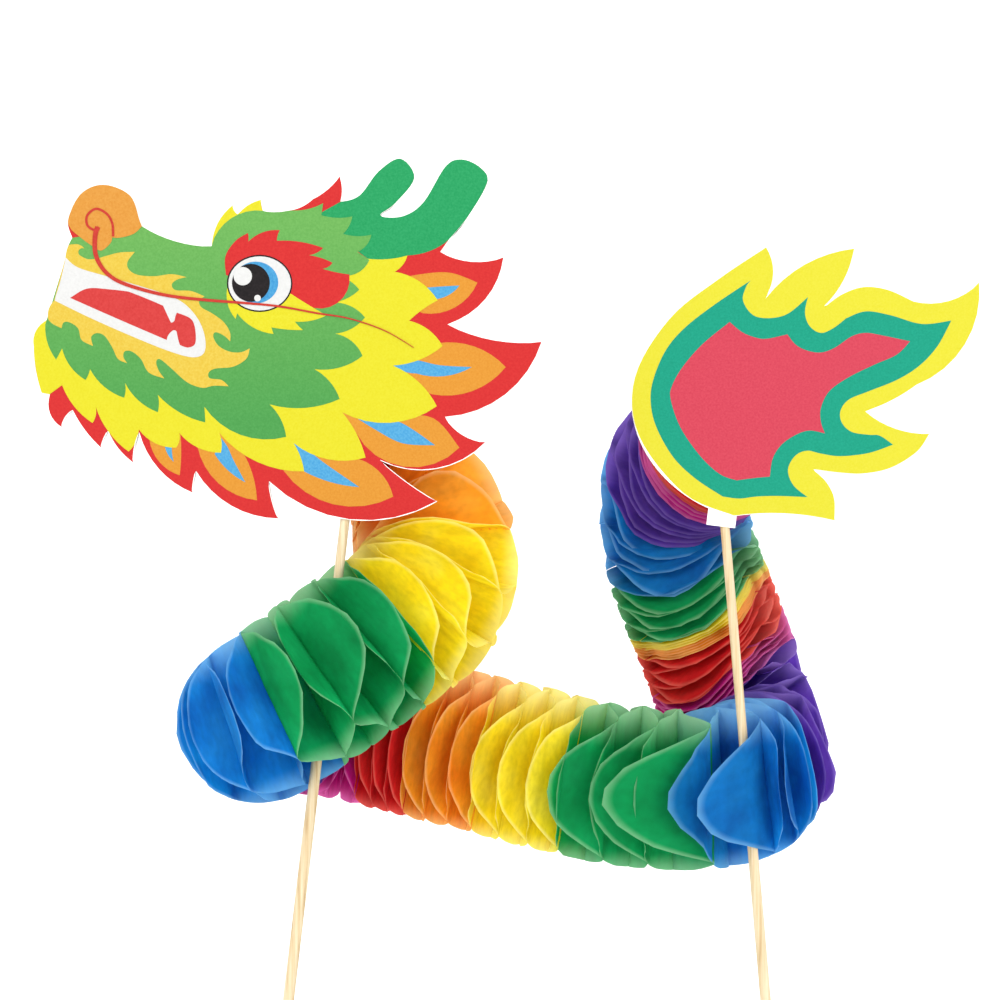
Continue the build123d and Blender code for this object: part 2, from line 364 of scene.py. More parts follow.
YELLOW_MANE = [
    [(-21.1, 280.2), (-15.8, 286.3)], [(-15.4, 284.6), (-14.2, 283.1)], [(-10.8, 286.2), (-6.4, 288)],
    [(-6.4, 285.9), (-5.7, 284.2)], [(16.5, 273.3)], [(29.1, 268.2)], [(35.9, 268.1), (42.2, 269.3)],
    [(40.7, 266.2), (38, 263.9)], [(46.2, 260.7), (52.3, 254.4)], [(46.8, 251), (42.8, 247.6)],
    [(49.4, 244.5), (53.9, 239.2)], [(45.7, 234.4), (37.4, 232.7)], [(45.7, 227.5), (52, 219.2)],
    [(35.9, 213.6), (20.5, 217.2)], [(25.1, 210.4), (28.3, 202.1)], [(16.5, 201.4), (4.4, 206.9)],
    [(6.7, 202.3), (7.9, 197.5)], [(-7.6, 200.6), (-20.4, 210.4)], [(-19.5, 206.9), (-19.8, 203.7)],
    [(-27, 205.2), (-33.7, 210.4)], [(-33.6, 207.8), (-34.7, 205.4)], [(-41.3, 206.7), (-47.1, 211.5)],
    [(-48, 207.5), (-50.5, 204.1)], [(-57, 210.4), (-61.4, 219)], [(-61.4, 216.1), (-62.5, 213.6)],
    [(-68.5, 219), (-72.6, 226.2)], [(-76.8, 223.1)], [(-79.5, 223.5)], [(-81.3, 231.5), (-82.2, 239)],
    [(-81.3, 244.7), (-77.4, 248.1)], [(-78, 251.6), (-75.4, 254.4)], [(-72.3, 263.6), (-71.7, 268.2)],
    [(-52.2, 269.9)], [(-23, 272.4)],
]
orange_ink = ink("ink_orange", dye(240, 158, 50), dye(248, 171, 64))
blue_ink = ink("ink_blue", dye(78, 172, 232), dye(104, 193, 240))
yellow_ink = ink("ink_yellow", dye(245, 234, 38), dye(250, 242, 56))
head_ink("head_print_orange", ORANGE_FEATHERS, 2, orange_ink)
head_ink("head_print_blue", BLUE_SLIVERS, 3, blue_ink)
head_ink("head_print_yellow", [YELLOW_MANE], 4, yellow_ink)

# ---------------------------------------------------------------------------------------
# Antlers and face: the antlers are a bluer green than the face. The face is one spiked
# green shape, lighter on the bridge of the nose and deeper at the jaw.
# ---------------------------------------------------------------------------------------
ANTLERS = [
    [(26.2, 289.4), (32.5, 297.4), (39.9, 301.7), (44.7, 295.1), (38.2, 286.5), (33.4, 282.7),
    (40.5, 282.5),
     (47.4, 287.1), (54.8, 299.1), (60.5, 301.4), (66.8, 298.5), (68.9, 293.4), (62.3, 281.9),
     (56.3, 274.7)],
    [(49.7, 270.8), (42.2, 269.3)], [(35.9, 267.8), (29.1, 268.2)], [(14.2, 279.1)], [(13, 283.3)],
    [(20.1, 287.3)],
]
GREEN_FACE = [
    [(-35.1, 274.2), (-23, 272.4)], [(-16.5, 281.6), (-5.7, 284.2)], [(-1.3, 283.9), (2.7, 284.4)],
    [(8.5, 284.6), (14.2, 286.7)], [(13.6, 282.7)], [(19.3, 281.8), (23.9, 282.3)],
    [(22.8, 279.1), (20.8, 276.5)], [(25.6, 275.7), (30.2, 276.2)], [(28.8, 273), (25.6, 270.5)],
    [(29.6, 267.8)], [(26.2, 263.8), (18.2, 263.3)], [(22.8, 261)], [(24.7, 259.6), (26.2, 257.9)],
    [(21.6, 254.8), (17, 253.6)], [(23.9, 252.2), (28.1, 248.7)], [(23.9, 245.1), (18.2, 243.3)],
    [(24.5, 240.1), (27.3, 235.9)], [(19.9, 232.1), (11.3, 231.5)], [(16.7, 227), (19.7, 221.6)],
    [(7.9, 218.6), (-3.6, 219.8)], [(0.2, 214.7), (1.9, 209)], [(-14.4, 210.1), (-25.3, 219)],
    [(-25.1, 216.1), (-25, 213.8)], [(-33.3, 217), (-40.8, 223)], [(-40.4, 220.1), (-40.8, 217.2)],
    [(-47.1, 221), (-51.7, 227)], [(-51.5, 224.3), (-52, 222)], [(-58.5, 225.6), (-63.3, 231.5)],
    [(-63.9, 229.6), (-64.8, 227.9)], [(-69.9, 232.5), (-72.6, 238.4)], [(-73.5, 236.7), (-74.6, 234.7)],
    [(-77.4, 240.1), (-78, 248.1)], [(-71.7, 268.2)], [(-70.8, 272.4), (-69.4, 275.1)], [(-45.9, 279.1)],
]
antler_ink = ink("ink_antler_green", dye(34, 168, 98), dye(52, 182, 112))
head_ink("head_print_antlers", [ANTLERS], 3, antler_ink)

JAW_HEIGHT = 0.215
BRIDGE_HEIGHT = 0.28
green_ink, tree, shader = new_finish("ink_face_green", INK_ROUGHNESS, 0.35)
place = own_place(tree)
mottle = grain(tree, place, EVEN, INK_MOTTLE, 8)
height = tree.nodes.new("ShaderNodeSeparateXYZ")
tree.links.new(place, height.inputs["Vector"])
fade = tree.nodes.new("ShaderNodeMapRange")
fade.inputs["From Min"].default_value = JAW_HEIGHT
fade.inputs["From Max"].default_value = BRIDGE_HEIGHT
tree.links.new(height.outputs["Z"], fade.inputs["Value"])
deep_green = shades(tree, mottle, [(0.32, on_card(dye(66, 164, 68))), (0.68, on_card(dye(80, 176, 80)))])
light_green = shades(tree, mottle, [(0.32, on_card(dye(104, 184, 78))), (0.68, on_card(dye(120, 196, 92)))])
greens = tree.nodes.new("ShaderNodeMix")
greens.data_type = "RGBA"
tree.links.new(fade.outputs["Result"], greens.inputs["Factor"])
tree.links.new(deep_green, greens.inputs["A"])
tree.links.new(light_green, greens.inputs["B"])
tree.links.new(greens.outputs["Result"], shader.inputs["Base Color"])
relief(tree, shader, mottle, INK_TOOTH, 0.35)
shader.inputs["Coat Weight"].default_value = 0.08
shader.inputs["Coat Roughness"].default_value = 0.3
head_ink("head_print_green", [GREEN_FACE], 5, green_ink)

# ---------------------------------------------------------------------------------------
# Mouth: gold flame-shaped lips round a white mouth, with the red tongue inside it.
# ---------------------------------------------------------------------------------------
GOLD_LIPS = [
    [(-71.9, 270.5), (-68.9, 273)], [(-67.3, 273), (-65.2, 271.6)], [(-67.2, 270.5), (-66.8, 269.4)],
    [(-64.2, 268.1), (-61, 268.3), (-57.8, 269.2), (-53.4, 270.3), (-48.4, 270.5)],
    [(-50.8, 267.3), (-50.5, 264.8), (-47.6, 262.9), (-41.9, 262.4), (-36.2, 263.1), (-31.2, 262.1)],
    [(-34.3, 261.3), (-36.1, 259.7), (-34.9, 257.8), (-29.8, 257.5), (-25.2, 255.7)],
    [(-27, 254.3), (-26.3, 252.1), (-22.8, 250.1), (-19, 247.3), (-16.8, 243.8), (-16.7, 240.7)],
    [(-18.7, 242.6), (-21.6, 243.8), (-22.3, 242.2), (-20.6, 239.3), (-17.1, 237.4), (-13.3, 237.1),
    (-10.2, 238.4)],
    [(-11.4, 234.9), (-15.8, 232.3), (-21.6, 231.7), (-23.8, 230.4), (-23.5, 228.5), (-19.6, 227.9),
    (-17.2, 225.8)],
    [(-22.2, 226), (-26, 225.3), (-31.1, 227.2), (-36.2, 231.7), (-40, 234.8), (-41.3, 233.9),
    (-40.5, 231.1),
     (-38.6, 228.4)],
    [(-43.8, 230.4), (-46.4, 234.9), (-49.5, 237.4), (-51.8, 237.4), (-52.2, 235.5), (-51, 233.5)],
    [(-54, 234.9), (-55.9, 238.7), (-58.4, 242.5), (-61, 243.5), (-62.9, 242.2), (-62.3, 239.2)],
    [(-66.1, 241.2), (-67.3, 245.1), (-70.2, 247.1), (-72.1, 247), (-72.8, 245.1)],
    [(-76.3, 247), (-78.2, 250.1), (-78, 253), (-75.3, 254.3)], [(-71.5, 268.9)],
]
WHITE_MOUTH = [
    [(-67.3, 265.3), (-57.8, 262.4), (-47.6, 259.4), (-38.7, 256.6), (-32.4, 253.6), (-27.9, 248.9),
    (-25.5, 243.8),
     (-24.9, 238.7), (-26.4, 236), (-30.5, 235.6), (-38.7, 238.1), (-51.4, 243.3), (-64.2, 249),
     (-75, 254.3)],
    [(-75.6, 261.6), (-71.5, 268.7)],
]
TONGUE = [
    [(-64.2, 258.3), (-56.5, 258), (-50.5, 257.3)], [(-45.1, 255.2), (-39, 252.6)],
    [(-37.6, 249.5), (-36.4, 247)], [(-35.5, 247.3), (-35.1, 248.2)], [(-34.8, 249.4), (-34.4, 250.3)],
    [(-29.2, 247.6), (-28.2, 240.6), (-30.5, 238.7), (-33.4, 239.5)], [(-34.1, 241.9), (-34.4, 243.5)],
    [(-35, 244.4), (-36.1, 244.1)], [(-37.3, 242.8), (-37.8, 241.2)], [(-52.7, 247.6), (-69.9, 255.2)],
]
gold_ink = ink("ink_gold", dye(246, 207, 68), dye(252, 220, 92))
white_ink = ink("ink_white", dye(246, 246, 244), dye(254, 254, 252))
tongue_ink = ink("ink_tongue_red", dye(224, 62, 60), dye(235, 76, 74))
head_ink("head_print_gold", [GOLD_LIPS], 6, gold_ink)
head_ink("head_print_mouth", [WHITE_MOUTH], 7, white_ink)
head_ink("head_print_tongue", [TONGUE], 8, tongue_ink)

# ---------------------------------------------------------------------------------------
# Eye and brow: a red flame brow over a round eye, with a yellow flash under it. The eye is
# a white oval, a blue iris, a black pupil and two white glints, printed one on another.
# ---------------------------------------------------------------------------------------
BROW = [
    [(-18.3, 269), (-15, 274.1), (-10.8, 276.8)], [(-10.6, 275.4), (-10.7, 273.9)],
    [(-5.9, 277), (-0.2, 277.7)], [(-0.9, 276.1), (-1.2, 274.2)], [(6.7, 273.8), (14.2, 271.8)],
    [(12.1, 270.2), (9.4, 269.4)], [(13.4, 268.5), (17.3, 266.9)], [(15.9, 265.5), (13.9, 264.9)],
    [(18.5, 263.7), (22.9, 263)], [(18.2, 253), (8.5, 252.8)], [(3.9, 254.4), (-6.4, 259.6)],
    [(-18.1, 262.8)],
]
UNDER_EYE = [
    [(-17.7, 254), (-14.9, 248.2)], [(-14.4, 250.1)], [(-10.1, 246), (-2.3, 243.2)], [(-3, 245.4)],
    [(2, 244.7), (7.5, 244.5)], [(6.1, 245.8), (4.8, 247.3)], [(9.6, 247.5), (15.3, 249.4)],
    [(9.6, 252.7), (3.6, 256.5)], [(-6.9, 260.3)], [(-17.4, 259.7)],
]


def oval(x, z, half_width, half_height):
    """A ring of points round an oval."""
    turns = [2 * math.pi * k / 40 for k in range(40)]
    return [(x + half_width * math.cos(t), z + half_height * math.sin(t)) for t in turns]


def inner_head_ink(name, rings, level, finish):
    """A colour that lies well inside the head cards' edge, printed on both of them."""
    return printed(name, rings, level, HEAD_FRONT, HEAD_BACK, "head", finish)


black_ink = ink("ink_black", dye(28, 24, 26), dye(44, 38, 40))
iris_ink = ink("ink_iris_blue", dye(66, 160, 222), dye(92, 184, 236))
head_ink("head_print_brow", [BROW], 6, red_ink)
head_ink("head_print_under_eye", [UNDER_EYE], 7, yellow_ink)
inner_head_ink("eye_outline", [oval(-6.9, 260, 10.9, 9.5)], 8, black_ink)
inner_head_ink("eye_white", [oval(-6.9, 260, 10.4, 9)], 9, white_ink)
inner_head_ink("eye_iris", [oval(-8.2, 260.3, 7.5, 6.95)], 10, iris_ink)
inner_head_ink("eye_pupil", [oval(-9.8, 260.2, 6.3, 6.3)], 11, black_ink)
inner_head_ink("eye_glints", [oval(-12.5, 262.4, 3.05, 3.05), oval(-7.6, 255.1, 1.1, 1.1)], 12, white_ink)

# ---------------------------------------------------------------------------------------
# Nose and whisker: an orange ball of a nose with a red swirl on it, and one long whisker
# that runs from the swirl back across the cheek, getting finer all the way to its end.
# ---------------------------------------------------------------------------------------
NOSE = [
    [(-66.5, 275.3), (-63.1, 272.8), (-59.7, 270.9), (-56.6, 273.3), (-55.9, 275.3)],
    [(-53.4, 275.2), (-48.8, 276.5), (-45.8, 279.3)],
    [(-46.6, 284.8), (-50.2, 290.3), (-58.8, 293), (-66.9, 289.9), (-70.8, 281.9), (-69.4, 277.7)],
]
SWIRL = [(-55.6, 275.6), (-55.9, 280), (-57.8, 283.2), (-61.3, 284.8), (-64.2, 282.6), (-64.2, 279.4),
         (-61.9, 277.8), (-60.4, 278.8)]
WHISKER = [(-60.7, 278.8), (-61.6, 275.6), (-61.3, 269.2), (-57.8, 263.5), (-51.4, 259.7), (-38.7, 256.2),
           (-26, 254.6), (-13.3, 253.6), (-0.6, 252.4), (12.2, 250.1), (23, 248.3), (34.7, 244.3),
           (44.3, 238.7)]


def pen_line(points, start_width, end_width):
    """A ring round a drawn line that narrows evenly from one end to the other."""
    line = [points[0]] + smooth(points, 6)
    left, right = [], []
    for k, here in enumerate(line):
        before = line[max(0, k - 1)]
        after = line[min(len(line) - 1, k + 1)]
        along = Vector((after[0] - before[0], after[1] - before[1])).normalized()
        half = (start_width + (end_width - start_width) * k / (len(line) - 1)) / 2
        left.append((here[0] - along.y * half, here[1] + along.x * half))
        right.append((here[0] + along.y * half, here[1] - along.x * half))
    return left + right[::-1]


nose_ink = ink("ink_nose_orange", dye(238, 160, 62), dye(246, 174, 78))
whisker_ink = ink("ink_whisker_red", dye(214, 62, 50), dye(226, 74, 60))
head_ink("head_print_nose", [NOSE], 9, nose_ink)
inner_head_ink("head_print_swirl", [pen_line(SWIRL, 0.8, 0.8)], 13, whisker_ink)
inner_head_ink("head_print_whisker", [pen_line(WHISKER, 1.7, 0.2)], 14, whisker_ink)

# ---------------------------------------------------------------------------------------
# Tail cards: the same card and foam tape, cut to a flame and printed yellow, with a green
# ring and a pink-red heart inside it. They are held round the top of the tail stick.
# ---------------------------------------------------------------------------------------
TAIL_FRONT = 35.85
TAIL_BACK = 40.15
FLAME_OUTLINE = [
    [(167.9, 267.5), (165, 258)], [(176.4, 268.5), (195.9, 275.3)], [(192, 263.6), (185.5, 255.1)],
    [(191.4, 259.4), (199, 262), (207.5, 261), (216.3, 257)], [(229, 257.3), (239.2, 263.6)],
    [(235.4, 243.8), (217.3, 227.7)], [(209.2, 222.6), (199.8, 218.7)], [(209.5, 213.1), (222.1, 211.1)],
    [(217.6, 204.6), (208.5, 199), (198.8, 197), (190.1, 197.4), (181.8, 198.5)],
    [(186.2, 194.4), (189, 188.6), (189.1, 180.7)], [(172, 183.2), (154.1, 182.4)],
    [(136.6, 190.2), (121, 210.2), (119.6, 230.6), (131.7, 251), (149.2, 265.1), (165.3, 275.8)],
]
GREEN_RING = [
    [(158.2, 261.7), (157.3, 256.8), (161.9, 251.5), (171.6, 252), (179.7, 258.3)],
    [(178.7, 252.9), (180.3, 248.3), (184.2, 245.9), (188.6, 247.6), (193, 251)],
    [(199.8, 253.4), (208.5, 252), (219.2, 249), (229.4, 250.2)],
    [(224.6, 241.3), (218.3, 234.5), (210.5, 229.6), (200.8, 225.7), (193.9, 222.8), (191, 218.9),
    (191.5, 214.8),
     (194.9, 211.6), (200.8, 210.6), (204.6, 210.3), (209.2, 207.2)],
    [(200.8, 204.3), (191, 203.2), (184.2, 204.1), (179.4, 205.1), (175.3, 203.3), (172.8, 198.5),
    (174.7, 193.1),
     (179.6, 189)],
    [(169.6, 189.4), (161.9, 189.2), (156, 188.5), (150.2, 189.2)],
    [(140.5, 195.6), (132.7, 203.3), (126.9, 214), (125.2, 222.8), (126.4, 230.6), (130.7, 240.3),
    (137.5, 248.1),
     (148.2, 256.3), (159.9, 264.1)],
]
PINK_HEART = [
    [(157, 246.1), (161.9, 244.2), (165.7, 243.9), (172.6, 245.4)],
    [(175.5, 241.8), (179.4, 239.8), (184.2, 239.1), (189.1, 240.8), (194.9, 244.7), (199.8, 245.9),
    (205.6, 245),
     (215.1, 243)],
    [(210.5, 238.4), (202.7, 234.9), (193.9, 230.6), (187.1, 225.7), (184.2, 219.9), (184.2, 215),
    (185.6, 211.1)],
    [(180.3, 212.1), (175.5, 210.6), (170.6, 207.2), (167.5, 202.4), (166.5, 196.1)],
    [(160.9, 195.6), (155.1, 194.8)],
    [(149.2, 197), (142.4, 203.3), (135.6, 213.1), (132.2, 222.8), (132.7, 227.7), (136.6, 234.5),
    (143.4, 242.2),
     (152.6, 249.7)],
]
flame_yellow = ink("ink_flame_yellow", dye(247, 238, 52), dye(252, 244, 72))
flame_green = ink("ink_flame_green", dye(18, 168, 136), dye(32, 182, 150))
flame_pink = ink("ink_flame_pink", dye(226, 70, 92), dye(238, 84, 104))
tail_edge = drawn_in(drawn_outline(FLAME_OUTLINE), CUT_MARGIN)
printed("tail_print_yellow", [tail_edge], 1, TAIL_FRONT, TAIL_BACK, "tail", flame_yellow)
printed("tail_print_green", [drawn_outline(GREEN_RING)], 2, TAIL_FRONT, TAIL_BACK, "tail", flame_green)
printed("tail_print_pink", [drawn_outline(PINK_HEART)], 3, TAIL_FRONT, TAIL_BACK, "tail", flame_pink)

# ---------------------------------------------------------------------------------------
# Joining parts: squares of white foam tape between the cards, a strip of paper tape over
# the tail stick's top, and at each end of the garland a dried spot of glue and a stiff
# red card disc that the tissue starts from.
# ---------------------------------------------------------------------------------------
bubble_shades = [(0.35, dye(214, 212, 206)), (0.6, dye(240, 239, 235))]
foam = mottled_finish("white_foam_tape", 0.95, 0.1, EVEN, 0.0004, 3, bubble_shades, 0.0002, 0.8)
for pads in ("head_foam_tape", "tail_foam_tape"):
    dress(pads, foam)

CREPE_RIBS = (1, 1, 7)
crepe_shades = [(0.3, dye(242, 241, 236)), (0.7, dye(254, 253, 250))]
masking = mottled_finish("paper_tape", 0.7, 0.25, CREPE_RIBS, 0.0012, 5, crepe_shades, 0.00008, 0.6)
dress("tail_stick_tape", masking)

smear_shades = [(0.3, dye(226, 220, 204)), (0.7, dye(244, 240, 228))]
dried_glue = mottled_finish("dried_glue", 0.25, 0.5, EVEN, 0.003, 4, smear_shades, 0.0003, 0.5)
for spot in ("head_glue_spot", "tail_glue_spot"):
    dress(spot, dried_glue)

end_card_shades = [(0.3, dye(190, 26, 36)), (0.7, dye(208, 38, 46))]
end_card = mottled_finish("red_end_card", 0.7, 0.25, EVEN, 0.0007, 5, end_card_shades, 0.00006, 0.5)
for disc in ("head_end_disc", "tail_end_disc"):
    dress(disc, end_card)

# ---------------------------------------------------------------------------------------
# Tissue garland: 132 round sheets of dyed tissue paper, glued to each other along straight
# lines that are staggered from one gap to the next, so that they pull open into a
# honeycomb. It changes colour every six sheets and is bent by hand into the dragon's body.
# ---------------------------------------------------------------------------------------
SHEET_RADIUS = 28.3
SHEETS_IN_A_BAND = 6
GLUE_LINE_GAP = 14.5
GLUE_HALF_WIDTH = 0.8
GARLAND_CORNERS = [
    (12, 3.4, 213), (12, 44, 213), (66, 26, 165.5), (-12, -14, 111), (-8, 88, 113), (111, 52, 88),
    (159, 42, 84), (168, 96, 97), (142, 95, 158), (133, 95, 196), (154, 62, 211), (154, 41.4, 211),
]
GARLAND_BENDS = [28.6, 28.6, 29, 29, 120, 29, 29, 60, 29, 40]
BANDS = [
    ("red", 18), ("orange", 65), ("yellow", 37), ("green", 38), ("blue", 47), ("purple", 32),
    ("magenta", 31),
    ("red", 17), ("orange", 26), ("yellow", 32), ("green", 42), ("blue", 34), ("purple", 48),
    ("magenta", 8),
    ("red", 16), ("orange", 3), ("yellow", 3), ("green", 14), ("blue", 33), ("purple", 22), ("magenta", 17),
    ("red", 13),
]
# each band's body, counted from the head; two bodies meet at the end of each band from 5 to 11
BAND_BODIES = (
    ["head"] * 5
    + ["turn_purple", "run_magenta", "run_red", "run_orange", "run_yellow", "run_green"]
    + ["tail"] * 11
)
STICKS = [((0, 0, 0), 6.71), ((166.5, 38, 0), -4.91)]
STICK_CLEARANCE = 2.2


def unit(vector):
    """The same direction with length one."""
    return vector / np.linalg.norm(vector)


def walked_line(corners, bends, step):
    """The bent centre line as points and directions, a fixed step apart."""
    corners = [np.array(c, float) for c in corners]
    points, directions = [], []
    here = corners[0]
    for before, corner, after, radius in zip(corners, corners[1:], corners[2:], bends):
        into = unit(corner - before)
        out = unit(after - corner)
        angle = math.acos(float(into @ out))
        reach = radius * math.tan(angle / 2)
        start = corner - into * reach
        sideways = unit(out - into * (into @ out))
        straight = np.linalg.norm(start - here)
        for k in range(max(1, round(straight / step))):
            points.append(here + into * straight * k / max(1, round(straight / step)))
            directions.append(into)
        pieces = max(1, round(radius * angle / step))
        for k in range(pieces):
            turn = angle * k / pieces
            points.append(start + sideways * radius * (1 - math.cos(turn)) + into * radius * math.sin(turn))
            directions.append(into * math.cos(turn) + sideways * math.sin(turn))
        here = corner + out * reach
    last = corners[-1]
    out = unit(last - corners[-2])
    pieces = max(1, round(np.linalg.norm(last - here) / step))
    for k in range(pieces + 1):
        points.append(here + (last - here) * k / pieces)
        directions.append(out)
    return np.array(points), np.array(directions)


line_points, line_directions = walked_line(GARLAND_CORNERS, GARLAND_BENDS, 0.25)
line_travel = np.concatenate([[0], np.cumsum(np.linalg.norm(np.diff(line_points, axis=0), axis=1))])

# glue lines stand upright in the front run, and follow the bends both ways from there
band_ends = np.cumsum([0] + [length for _, length in BANDS]) * line_travel[-1] / sum(b for _, b in BANDS)
upright_at = int(np.searchsorted(line_travel, band_ends[10]))
glue_directions = np.zeros_like(line_points)
glue_directions[upright_at] = (0, 0, -1)
for order in (range(upright_at, len(line_points)), range(upright_at, -1, -1)):
    carried = np.array((0.0, 0.0, -1.0))
    for k in order:
        carried = unit(carried - line_directions[k] * (carried @ line_directions[k]))
        glue_directions[k] = carried

# the paper is also twisted: the way it is held turns the glue lines in the neck and the column
TWIST_PLACES = band_ends[[5, 8, 12, 15]]
TWIST_DEGREES = [-28, 0, 0, 80]
twist = np.radians(np.interp(line_travel, TWIST_PLACES, TWIST_DEGREES))[:, None]
quarter_turned = np.cross(line_directions, glue_directions)
glue_directions = glue_directions * np.cos(twist) + quarter_turned * np.sin(twist)


def on_line(values, travel):
    """A value read off the centre line at a distance along it."""
    return np.array([np.interp(travel, line_travel, values[:, axis]) for axis in range(3)])


# across a sheet, rows of points stand at the glue strips' edges and in between
inner = [0, GLUE_HALF_WIDTH, 2.4, 4.2, 6.0, 8.0, 10.0, 12.0, GLUE_LINE_GAP - GLUE_HALF_WIDTH]
across = sorted({
    round(side * (k * GLUE_LINE_GAP + d), 3) for side in (-1, 1) for k in range(2) for d in inner
})
across = [x for x in across if abs(x) < SHEET_RADIUS - 0.6]
across = np.array([-SHEET_RADIUS + 0.15] + across + [SHEET_RADIUS - 0.15])
up_share = np.sin(np.linspace(-1, 1, 21) * math.pi / 2)
grid_x = np.repeat(across[:, None], len(up_share), axis=1)
grid_g = np.sqrt(SHEET_RADIUS**2 - grid_x**2) * up_share[None, :]

total_sheets = len(BANDS) * SHEETS_IN_A_BAND
rng = np.random.default_rng(7)
sheet_travel = []
for start, end in zip(band_ends, band_ends[1:]):
    sheet_travel += [start + (end - start) * (k + 0.5) / SHEETS_IN_A_BAND for k in range(SHEETS_IN_A_BAND)]
# the front blue band's first two sheets stand open round the tail stick, and the rest close up
OPEN_ROUND_STICK = [6.0, 14.2, 18.6, 22.8, 26.8, 30.8]
BANDS_BEFORE_FRONT_BLUE = 11
first_blue = BANDS_BEFORE_FRONT_BLUE * SHEETS_IN_A_BAND
front_blue = slice(first_blue, first_blue + SHEETS_IN_A_BAND)
sheet_travel[front_blue] = [band_ends[BANDS_BEFORE_FRONT_BLUE] + d for d in OPEN_ROUND_STICK]


def flat_sheet(number):
    """The sheet as a flat disc on the centre line, in millimetres."""
    travel = sheet_travel[number]
    along = unit(on_line(line_directions, travel))
    glue = on_line(glue_directions, travel)
    glue = unit(glue - along * (glue @ along))
    width = np.cross(along, glue)
    return on_line(line_points, travel) + grid_x[..., None] * width + grid_g[..., None] * glue


flats = [flat_sheet(n) for n in range(total_sheets)]
along_sheets = [unit(on_line(line_directions, t)) for t in sheet_travel]


def pull(number):
    """How far each point is drawn towards the next sheet (+1) or the one before (-1)."""
    phase = np.abs(grid_x) / GLUE_LINE_GAP
    if number % 2 == 1:
        phase = phase + 1
    from_next = np.abs((phase + 1) % 2 - 1) * GLUE_LINE_GAP
    slack = GLUE_LINE_GAP - 2 * GLUE_HALF_WIDTH
    share = np.clip((from_next - GLUE_HALF_WIDTH) / slack, 0, 1)
    eased = 0.45 * share + 0.55 * share * share * (3 - 2 * share)
    return 1 - 2 * eased


# how the paper hangs, read off between places along the centre line: the share of a gap
# that free edges lean back by, how far they fall and sag in mm, and how crumpled they are
LEAN_PLACES = band_ends[[0, 1, 4, 6, 7, 10, 11, 12, 13]]
LEAN_SHARES = [0.2, 0.35, 0.35, 0.5, 0.95, 1.35, 2.1, 1.9, 0.8]
FALL_PLACES = band_ends[[12, 14, 19, 20]]
FALL = [2, 6, 7, 3]
FALL_TILT = 0.8
CRUSH_PLACES = band_ends[[0, 5, 12, 13, 18, 20]]
DROOP = [0, 0, 0, 5, 5, 1]
CRUMPLE = [0.6, 0.5, 0.6, 2.4, 2.4, 0.9]
TUCK_HEIGHT = 202
TUCK_DEPTH = 12
TUCK_SHARE = 0.85
TUCK_PAST_STICK = 3
TUCKED_BANDS = 2

# without a seed the noise would start somewhere else at every run
noise.seed_set(7)


def soft_noise(points, size, offset):
    """A smooth wandering displacement, the same for sheets that touch."""
    flat = points.reshape(-1, 3) / size + offset
    drift = [noise.noise_vector(Vector(p)) for p in flat]
    return np.array([tuple(d) for d in drift]).reshape(points.shape)


def sheet_shape(number):
    """One sheet pulled open into its share of the honeycomb."""
    here = flats[number]
    before = flats[max(0, number - 1)]
    after = flats[min(total_sheets - 1, number + 1)]
    travel = sheet_travel[number]
    drawn = pull(number)[..., None]
    shape = here + np.where(drawn > 0, (after - here) * drawn, (before - here) * -drawn) / 2
    # past its last glue line a sheet is free, and falls back over the sheet before it
    free = np.clip((np.abs(grid_x) - GLUE_LINE_GAP) / (SHEET_RADIUS - GLUE_LINE_GAP), 0, 1)
    lean = np.interp(travel, LEAN_PLACES, LEAN_SHARES) * free**1.3
    shape = shape + lean[..., None] * (before - here)
    fallen = FALL_TILT * grid_x / SHEET_RADIUS + (grid_x > 0) * free**1.3
    fall = np.interp(travel, FALL_PLACES, FALL) * fallen
    shape = shape - fall[..., None] * along_sheets[number]
    # every cut rim curls in its own way, least where it is glued
    gap = np.linalg.norm(after - here, axis=-1)
    rim = np.clip((np.hypot(grid_x, grid_g) / SHEET_RADIUS - 0.75) / 0.25, 0, 1) ** 2
    angle = np.arctan2(grid_g, grid_x)
    turns = rng.uniform(0, 2 * math.pi, 3)
    curl = np.sin(3 * angle + turns[0])
    curl = curl + 0.6 * np.sin(7 * angle + turns[1]) + 0.4 * np.sin(13 * angle + turns[2])
    curl = curl * rim * (1 - np.abs(drawn[..., 0])) * np.clip(0.2 * gap, 0, 1.3)
    shape = shape + curl[..., None] * along_sheets[number]
    # the column behind the front run is squashed: its sheets sag to one side and crumple
    droop = np.interp(travel, CRUSH_PLACES, DROOP) * np.clip(grid_g / SHEET_RADIUS, -0.4, 1)
    shape = shape - droop[..., None] * along_sheets[number]
    crush = np.interp(travel, CRUSH_PLACES, CRUMPLE)
    shape = shape + crush * soft_noise(shape, 19, 3.1) + 0.3 * crush * soft_noise(shape, 6, 9.7)
    # under the head the paper is tucked in behind the stick
    if travel < band_ends[TUCKED_BANDS]:
        stick_x = shape[..., 2] * math.tan(math.radians(STICKS[0][1]))
        low = np.clip((TUCK_HEIGHT - shape[..., 2]) / TUCK_DEPTH, 0, 1)
        shape[..., 0] += np.clip(stick_x + TUCK_PAST_STICK - shape[..., 0], 0, None) * TUCK_SHARE * low
    return shape


def clear_of_sticks(points):
    """Paper pushed aside where a stick goes through it; also how far each point is from one."""
    nearest = np.full(points.shape[:-1], 99.0)
    for foot, lean in STICKS:
        axis = np.array((math.sin(math.radians(lean)), 0, math.cos(math.radians(lean))))
        offset = points - np.array(foot, float)
        off_axis = offset - (offset @ axis)[..., None] * axis
        gap = np.linalg.norm(off_axis, axis=-1)
        nearest = np.minimum(nearest, gap)
        push = np.clip(STICK_CLEARANCE - gap, 0, None) / np.maximum(gap, 0.05)
        points = points + off_axis * push[..., None]
    return points, nearest


